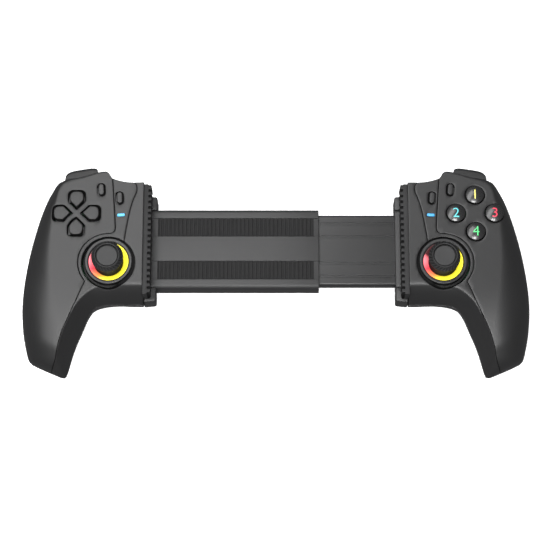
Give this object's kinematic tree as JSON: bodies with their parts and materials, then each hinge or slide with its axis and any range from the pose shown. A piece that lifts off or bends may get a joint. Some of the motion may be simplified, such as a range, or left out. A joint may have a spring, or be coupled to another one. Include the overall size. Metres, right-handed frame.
{
  "type": "mobile game controller",
  "caption": "Telescopic phone game controller: two grips with thumbsticks, keys, bumpers and triggers, joined by a sliding bridge that clamps a phone between ribbed pads.",
  "frame": {"origin": "centre of the bounding box in plan, at the table it lies on", "axes": "+X towards the right-hand grip, +Y towards the shoulder keys, +Z out of the front face"},
  "size_m": [0.2916, 0.1221, 0.0463],
  "materials": {
    "shell": "fine matt grain",
    "shell_dark": "fine matt grain",
    "trim": "fine matt grain",
    "bridge": "fine matt grain",
    "direction_keys": "satin",
    "oval_keys": "satin",
    "gloss_keys": "polished",
    "rubber": "matt",
    "key_mat": "matt",
    "light_ring": "translucent light guide, glowing red to yellow",
    "lit_key": "translucent, lit blue",
    "steel": "plain",
    "inner_plastic": "plain",
    "board": "solder mask",
    "battery": "pouch wrap",
    "ribbon": "film"
  },
  "bodies": {
    "left_half": {"left_outer_shell": "shell", "left_inner_shell": "shell_dark", "left_function_panel": "trim", "left_rear_shell": "shell_dark", "left_clamp_pad": "rubber", "left_stick_bezel": "trim", "left_light_ring": "light_ring", "left_stick_frame": "steel", "left_shoulder_frame": "trim", "left_hinge_pins": "steel", "left_trigger_spring": "steel", "left_circuit_board": "board", "left_key_mat": "key_mat", "left_shell_screws": "steel", "battery": "battery", "bridge_sleeve": "bridge", "return_springs": "steel", "ribbon_cable": "ribbon"},
    "right_half": {"right_outer_shell": "shell", "right_inner_shell": "shell_dark", "right_function_panel": "trim", "right_rear_shell": "shell_dark", "right_clamp_pad": "rubber", "right_stick_bezel": "trim", "right_light_ring": "light_ring", "right_stick_frame": "steel", "right_shoulder_frame": "trim", "right_hinge_pins": "steel", "right_trigger_spring": "steel", "right_circuit_board": "board", "right_key_mat": "key_mat", "right_shell_screws": "steel", "charging_port": "steel", "bridge_slider": "bridge"},
    "direction_key_up": {"direction_key_up": "direction_keys"},
    "direction_key_down": {"direction_key_down": "direction_keys"},
    "direction_key_left": {"direction_key_left": "direction_keys"},
    "direction_key_right": {"direction_key_right": "direction_keys"},
    "minus_key": {"minus_key": "oval_keys"},
    "turbo_key": {"turbo_key": "oval_keys"},
    "left_lit_key": {"left_lit_key": "lit_key"},
    "face_button_1": {"face_button_1": "gloss_keys"},
    "face_button_2": {"face_button_2": "gloss_keys"},
    "face_button_3": {"face_button_3": "gloss_keys"},
    "face_button_4": {"face_button_4": "gloss_keys"},
    "plus_key": {"plus_key": "oval_keys"},
    "macro_key": {"macro_key": "oval_keys"},
    "right_lit_key": {"right_lit_key": "lit_key"},
    "left_yoke": {"left_stick_yoke": "inner_plastic"},
    "left_rocker": {"left_stick_rocker": "inner_plastic"},
    "left_cap": {"left_stick_cap": "rubber", "left_stick_shaft": "steel"},
    "left_bumper": {"left_bumper": "shell_dark"},
    "left_trigger": {"left_trigger": "shell_dark"},
    "right_yoke": {"right_stick_yoke": "inner_plastic"},
    "right_rocker": {"right_stick_rocker": "inner_plastic"},
    "right_cap": {"right_stick_cap": "rubber", "right_stick_shaft": "steel"},
    "right_bumper": {"right_bumper": "shell_dark"},
    "right_trigger": {"right_trigger": "shell_dark"}
  },
  "joints": [
    {"name": "bridge_slide", "type": "slide", "parent": "left_half", "child": "right_half", "axis": [1, 0, 0], "range_m": [-0.0436, 0.0284], "deforming": ["return_springs", "ribbon_cable"]},
    {"name": "direction_key_up_press", "type": "slide", "parent": "left_half", "child": "direction_key_up", "axis": [0, 0, 1], "range_m": [-0.0013, 0], "stiffness_N_per_m": 400},
    {"name": "direction_key_down_press", "type": "slide", "parent": "left_half", "child": "direction_key_down", "axis": [0, 0, 1], "range_m": [-0.0013, 0], "stiffness_N_per_m": 400},
    {"name": "direction_key_left_press", "type": "slide", "parent": "left_half", "child": "direction_key_left", "axis": [0, 0, 1], "range_m": [-0.0013, 0], "stiffness_N_per_m": 400},
    {"name": "direction_key_right_press", "type": "slide", "parent": "left_half", "child": "direction_key_right", "axis": [0, 0, 1], "range_m": [-0.0013, 0], "stiffness_N_per_m": 400},
    {"name": "minus_key_press", "type": "slide", "parent": "left_half", "child": "minus_key", "axis": [0, 0, 1], "range_m": [-0.0007, 0], "stiffness_N_per_m": 500},
    {"name": "turbo_key_press", "type": "slide", "parent": "left_half", "child": "turbo_key", "axis": [0, 0, 1], "range_m": [-0.0007, 0], "stiffness_N_per_m": 500},
    {"name": "left_lit_key_press", "type": "slide", "parent": "left_half", "child": "left_lit_key", "axis": [0, 0, 1], "range_m": [-0.0007, 0], "stiffness_N_per_m": 500},
    {"name": "face_button_1_press", "type": "slide", "parent": "right_half", "child": "face_button_1", "axis": [0, 0, 1], "range_m": [-0.0013, 0], "stiffness_N_per_m": 400},
    {"name": "face_button_2_press", "type": "slide", "parent": "right_half", "child": "face_button_2", "axis": [0, 0, 1], "range_m": [-0.0013, 0], "stiffness_N_per_m": 400},
    {"name": "face_button_3_press", "type": "slide", "parent": "right_half", "child": "face_button_3", "axis": [0, 0, 1], "range_m": [-0.0013, 0], "stiffness_N_per_m": 400},
    {"name": "face_button_4_press", "type": "slide", "parent": "right_half", "child": "face_button_4", "axis": [0, 0, 1], "range_m": [-0.0013, 0], "stiffness_N_per_m": 400},
    {"name": "plus_key_press", "type": "slide", "parent": "right_half", "child": "plus_key", "axis": [0, 0, 1], "range_m": [-0.0007, 0], "stiffness_N_per_m": 500},
    {"name": "macro_key_press", "type": "slide", "parent": "right_half", "child": "macro_key", "axis": [0, 0, 1], "range_m": [-0.0007, 0], "stiffness_N_per_m": 500},
    {"name": "right_lit_key_press", "type": "slide", "parent": "right_half", "child": "right_lit_key", "axis": [0, 0, 1], "range_m": [-0.0007, 0], "stiffness_N_per_m": 500},
    {"name": "left_stick_up_down", "type": "hinge", "parent": "left_half", "child": "left_yoke", "pos_m": [-0.0958, 0.00298, 0.028], "axis": [1, 0, 0], "range_deg": [-18, 18], "stiffness_Nm_per_rad": 0.02},
    {"name": "left_stick_left_right", "type": "hinge", "parent": "left_yoke", "child": "left_rocker", "pos_m": [-0.0958, 0.00298, 0.028], "axis": [0, 1, 0], "range_deg": [-18, 18], "stiffness_Nm_per_rad": 0.02},
    {"name": "left_stick_click", "type": "slide", "parent": "left_rocker", "child": "left_cap", "axis": [0, 0, 1], "range_m": [-0.0005, 0], "stiffness_N_per_m": 1500},
    {"name": "left_bumper_press", "type": "hinge", "parent": "left_half", "child": "left_bumper", "pos_m": [-0.0988, 0.05058, 0.0295], "axis": [0, 0, 1], "range_deg": [0, 3], "stiffness_Nm_per_rad": 0.5},
    {"name": "left_trigger_pull", "type": "hinge", "parent": "left_half", "child": "left_trigger", "pos_m": [-0.1118, 0.04898, 0.02], "axis": [1, 0, 0], "range_deg": [-16, 0], "stiffness_Nm_per_rad": 0.1, "deforming": ["left_trigger_spring"]},
    {"name": "right_stick_up_down", "type": "hinge", "parent": "right_half", "child": "right_yoke", "pos_m": [0.0958, 0.00298, 0.028], "axis": [1, 0, 0], "range_deg": [-18, 18], "stiffness_Nm_per_rad": 0.02},
    {"name": "right_stick_left_right", "type": "hinge", "parent": "right_yoke", "child": "right_rocker", "pos_m": [0.0958, 0.00298, 0.028], "axis": [0, 1, 0], "range_deg": [-18, 18], "stiffness_Nm_per_rad": 0.02},
    {"name": "right_stick_click", "type": "slide", "parent": "right_rocker", "child": "right_cap", "axis": [0, 0, 1], "range_m": [-0.0005, 0], "stiffness_N_per_m": 1500},
    {"name": "right_bumper_press", "type": "hinge", "parent": "right_half", "child": "right_bumper", "pos_m": [0.0988, 0.05058, 0.0295], "axis": [0, 0, 1], "range_deg": [-3, 0], "stiffness_Nm_per_rad": 0.5},
    {"name": "right_trigger_pull", "type": "hinge", "parent": "right_half", "child": "right_trigger", "pos_m": [0.1118, 0.04898, 0.02], "axis": [1, 0, 0], "range_deg": [-16, 0], "stiffness_Nm_per_rad": 0.1, "deforming": ["right_trigger_spring"]}
  ]
}
